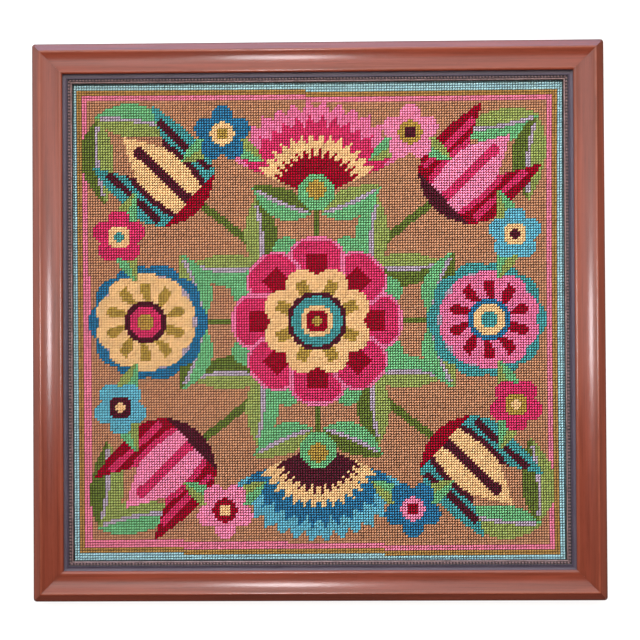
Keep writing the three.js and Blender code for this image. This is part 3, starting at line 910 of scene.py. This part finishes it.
def ground_sheet():
    """The cut canvas: a thin closed sheet with the stitches' reverse on its
    back and a bare margin, which lies in the rabbet."""
    w = FRAME_WIDTH / 2 - CANVAS_EDGE_U
    h = FRAME_HEIGHT / 2 - CANVAS_EDGE_U
    c = CANVAS_CORNER
    outline = [(-w + c, -h), (w - c, -h), (w, -h + c), (w, h - c), (w - c, h), (-w + c, h), (-w, h - c), (-w, -h + c)]
    i0, i1, j0, j1 = STITCHED
    verts = [(x, y, GROUND_TOP_Z) for x, y in outline]
    faces = [tuple(range(8))]
    slots = [0]
    verts += [(x, y, GROUND_BOTTOM_Z) for x, y in outline]
    for k in range(8):
        faces.append((k, (k + 1) % 8, 8 + (k + 1) % 8, 8 + k))
        slots.append(2)
    # back: one face a stitch, and a margin of four strips
    base = len(verts)
    ni, nj = i1 - i0 + 1, j1 - j0 + 1
    rng = np.random.default_rng(77)
    dz = rng.normal(0, 0.05, (ni, nj))
    for i in range(ni):
        for j in range(nj):
            edge = i in (0, ni - 1) or j in (0, nj - 1)
            verts.append((HX[i0 + i, j0 + j], HY[i0 + i, j0 + j], GROUND_BOTTOM_Z - (0.0 if edge else 0.12 + abs(dz[i, j]))))

    def vid(i, j):
        return base + i * nj + j
    tint = {}
    for i in range(ni - 1):
        for j in range(nj - 1):
            tint[len(faces)] = DYE[i0 + i, j0 + j] * 0.9
            faces.append((vid(i, j), vid(i, j + 1), vid(i + 1, j + 1), vid(i + 1, j)))
            slots.append(1)
    bottom = [vid(i, 0) for i in range(ni)]
    right = [vid(ni - 1, j) for j in range(nj)]
    top = [vid(i, nj - 1) for i in range(ni - 1, -1, -1)]
    left = [vid(0, j) for j in range(nj - 1, -1, -1)]
    for ring, (p, q) in ((bottom, (8, 9)), (right, (10, 11)), (top, (12, 13)), (left, (14, 15))):
        faces.append(tuple(ring) + (q, p))
        slots.append(2)
    for corner, (p, q) in ((vid(0, 0), (15, 8)), (vid(ni - 1, 0), (9, 10)), (vid(ni - 1, nj - 1), (11, 12)), (vid(0, nj - 1), (13, 14))):
        faces.append((corner, q, p))
        slots.append(2)
    obj = new_object("needlepoint_ground", verts, faces, [SHADED_GROUND, BACK_WOOL, COTTON], smooth=False)
    obj.data.polygons.foreach_set("material_index", np.array(slots, np.int32))
    col = obj.data.attributes.new("Yarn", "FLOAT_COLOR", "CORNER")
    data = np.ones((len(obj.data.loops), 4), np.float32)
    for p in obj.data.polygons:
        if p.index in tint:
            data[p.loop_start:p.loop_start + p.loop_total, :3] = tint[p.index]
    col.data.foreach_set("color", data.ravel())
    outward(obj)
    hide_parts("needlepoint_canvas")
    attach(obj, "root")
    return obj


STITCHED = (1, NX - 1, 1, NY - 1)
BACK_WOOL = wool_material("wool_reverse")
cols = np.linspace(STITCHED[0], STITCHED[1], 4).astype(int)
rows = np.linspace(STITCHED[2], STITCHED[3], 3).astype(int)
STITCHES = [
    stitch_block(f"stitches_{a + 1}_{b + 1}", cols[a], cols[a + 1], rows[b], rows[b + 1])
    for a in range(3) for b in range(2)
]
ground = ground_sheet()

# ------------------------------------------------------------------ stage


def stage():
    m, nt, bsdf = material("pale_floor")
    pos = node(nt, "ShaderNodeTexCoord").outputs["Object"]
    col = ramp(nt, noise(nt, pos, 9.0, 3.0), ((0.3, (0.19, 0.19, 0.19, 1)), (0.7, (0.20, 0.20, 0.20, 1))))
    nt.links.new(col, bsdf.inputs["Base Color"])
    bsdf.inputs["Roughness"].default_value = 0.9
    bsdf.inputs["Specular IOR Level"].default_value = 0.1
    bsdf.inputs["Emission Color"].default_value = (1.0, 1.0, 1.0, 1)
    bsdf.inputs["Emission Strength"].default_value = 0.84
    floor = new_object("floor", np.array([(-3000, -3000, -0.3), (3000, -3000, -0.3), (3000, 3000, -0.3), (-3000, 3000, -0.3)]), [(0, 1, 2, 3)], [m], smooth=False)


def camera():
    data = bpy.data.cameras.new("camera")
    data.sensor_fit = "HORIZONTAL"
    data.sensor_width = 36.0
    data.lens = 36.0 * 1711.04 / 640.0
    data.clip_start, data.clip_end = 0.01, 20.0
    cam = bpy.data.objects.new("camera", data)
    bpy.context.scene.collection.objects.link(cam)
    to_camera = (Matrix.Rotation(math.radians(0.3362), 3, "Z") @ Matrix.Rotation(math.radians(-1.2001), 3, "Y")
                 @ Matrix.Rotation(math.radians(-0.8424), 3, "X"))
    cam.matrix_world = Matrix.Translation(Vector((30.50, -19.82, 1400.0)) * MM) @ to_camera.transposed().to_4x4()
    bpy.context.scene.camera = cam


def lights():
    key = bpy.data.lights.new("key", "AREA")
    key.shape = "ELLIPSE"
    key.size, key.size_y = 0.165, 0.17
    key.energy = 4.1
    key.color = (1.0, 0.95, 0.98)
    lamp = bpy.data.objects.new("key", key)
    lamp.location = (-0.09, 0.005, 1.40)
    bpy.context.scene.collection.objects.link(lamp)
    panel = bpy.data.lights.new("ceiling", "AREA")
    panel.shape = "RECTANGLE"
    panel.size, panel.size_y = 1.6, 2.76
    panel.energy = 3.5 * math.pi * panel.size * panel.size_y
    panel.color = (1.0, 0.985, 0.98)
    board = bpy.data.objects.new("ceiling", panel)
    board.location = (-0.1, 1.26, 2.64)
    bpy.context.scene.collection.objects.link(board)
    strip = panel.copy()
    strip.size = 1.1
    strip.energy = 1.0 * math.pi * strip.size * strip.size_y
    tube = bpy.data.objects.new("strip", strip)
    tube.location = (0.0, 1.26, 2.63)
    bpy.context.scene.collection.objects.link(tube)
    patch = panel.copy()
    patch.size, patch.size_y = 0.5, 0.6
    patch.energy = 2.8 * math.pi * patch.size * patch.size_y
    card = bpy.data.objects.new("patch", patch)
    card.location = (-0.62, 0.12, 2.60)
    bpy.context.scene.collection.objects.link(card)
    for name, x in (("warm_left", -1.475), ("warm_right", 1.275)):
        side = panel.copy()
        side.size = 1.15
        side.energy = 4.0 * math.pi * side.size * side.size_y
        side.color = (1.0, 0.64, 0.47)
        flag = bpy.data.objects.new(name, side)
        flag.location = (x, 1.26, 2.64)
        bpy.context.scene.collection.objects.link(flag)
    # a soft spot from beyond the top, so that light falls off down the picture
    spot = bpy.data.lights.new("top_fill", "SPOT")
    spot.energy = 400.0
    spot.spot_size, spot.spot_blend = math.radians(18), 1.0
    spot.shadow_soft_size = 0.25
    beam = bpy.data.objects.new("top_fill", spot)
    beam.location = (0.05, 2.2, 2.2)
    beam.rotation_euler = (Vector((0.05, 0.35, 0.0)) - beam.location).to_track_quat("-Z", "Y").to_euler()
    beam.visible_glossy = False
    bpy.context.scene.collection.objects.link(beam)
    world = bpy.data.worlds.new("studio")
    bpy.context.scene.world = world
    world.use_nodes = True
    nt = world.node_tree
    back = nt.nodes["Background"]
    d = node(nt, "ShaderNodeTexCoord").outputs["Generated"]
    xyz = nt.nodes.new("ShaderNodeSeparateXYZ")
    nt.links.new(d, xyz.inputs["Vector"])

    def ease(value, a, b, low, high):
        n = nt.nodes.new("ShaderNodeMapRange")
        n.interpolation_type = "SMOOTHSTEP"
        for key_, val in (("From Min", a), ("From Max", b), ("To Min", low), ("To Max", high)):
            n.inputs[key_].default_value = val
        nt.links.new(value, n.inputs["Value"])
        return n.outputs["Result"]
    absx = maths(nt, "ABSOLUTE", xyz.outputs["X"])
    room = ease(xyz.outputs["Y"], 0.15, 0.75, 0.06, 2.6)
    left = maths(nt, "MULTIPLY", ease(maths(nt, "MULTIPLY", xyz.outputs["X"], -1.0), 0.45, 0.95, 0.0, 1.9),
                 ease(xyz.outputs["Y"], -0.14, 0.08, 0.15, 1.85))
    total = maths(nt, "ADD", maths(nt, "MULTIPLY", room, ease(absx, 0.3, 0.95, 1.0, 0.3)), left)
    tint = ramp(nt, ease(xyz.outputs["Y"], 0.3, 0.9, 0.0, 1.0), ((0.0, (1.0, 0.97, 0.95, 1)), (1.0, (0.9, 1.0, 1.15, 1))))
    # a cool window low behind the picture's top, in two panes with a wide bar
    pane = maths(nt, "MULTIPLY", ease(xyz.outputs["Y"], 0.7, 0.93, 0.0, 1.0), ease(absx, 0.25, 0.5, 1.0, 0.0))
    pane = maths(nt, "MULTIPLY", pane, ease(xyz.outputs["X"], -0.12, 0.12, 1.03, 0.8))
    bar = maths(nt, "ADD", ease(xyz.outputs["Z"], 0.17, 0.27, 1.0, 0.12), ease(xyz.outputs["Z"], 0.42, 0.52, 0.0, 0.88))
    pane = maths(nt, "MULTIPLY", pane, bar)
    sky = nt.nodes.new("ShaderNodeBackground")
    sky.inputs["Color"].default_value = (0.24, 0.66, 1.15, 1)
    nt.links.new(maths(nt, "MULTIPLY", pane, 6.6), sky.inputs["Strength"])
    wall = nt.nodes.new("ShaderNodeBackground")
    wall.inputs["Color"].default_value = (1.0, 0.55, 0.38, 1)
    nt.links.new(ease(xyz.outputs["X"], 0.5, 0.95, 0.0, 1.2), wall.inputs["Strength"])
    warm = nt.nodes.new("ShaderNodeAddShader")
    both = nt.nodes.new("ShaderNodeAddShader")
    nt.links.new(tint, back.inputs["Color"])
    nt.links.new(total, back.inputs["Strength"])
    nt.links.new(back.outputs["Background"], both.inputs[0])
    nt.links.new(sky.outputs["Background"], warm.inputs[0])
    nt.links.new(wall.outputs["Background"], warm.inputs[1])
    nt.links.new(warm.outputs["Shader"], both.inputs[1])
    nt.links.new(both.outputs["Shader"], nt.nodes["World Output"].inputs["Surface"])


stage()
camera()
lights()
view = bpy.context.scene.view_settings
view.view_transform = "Standard"
view.look = "None"
view.exposure = 0.0
view.gamma = 1.0
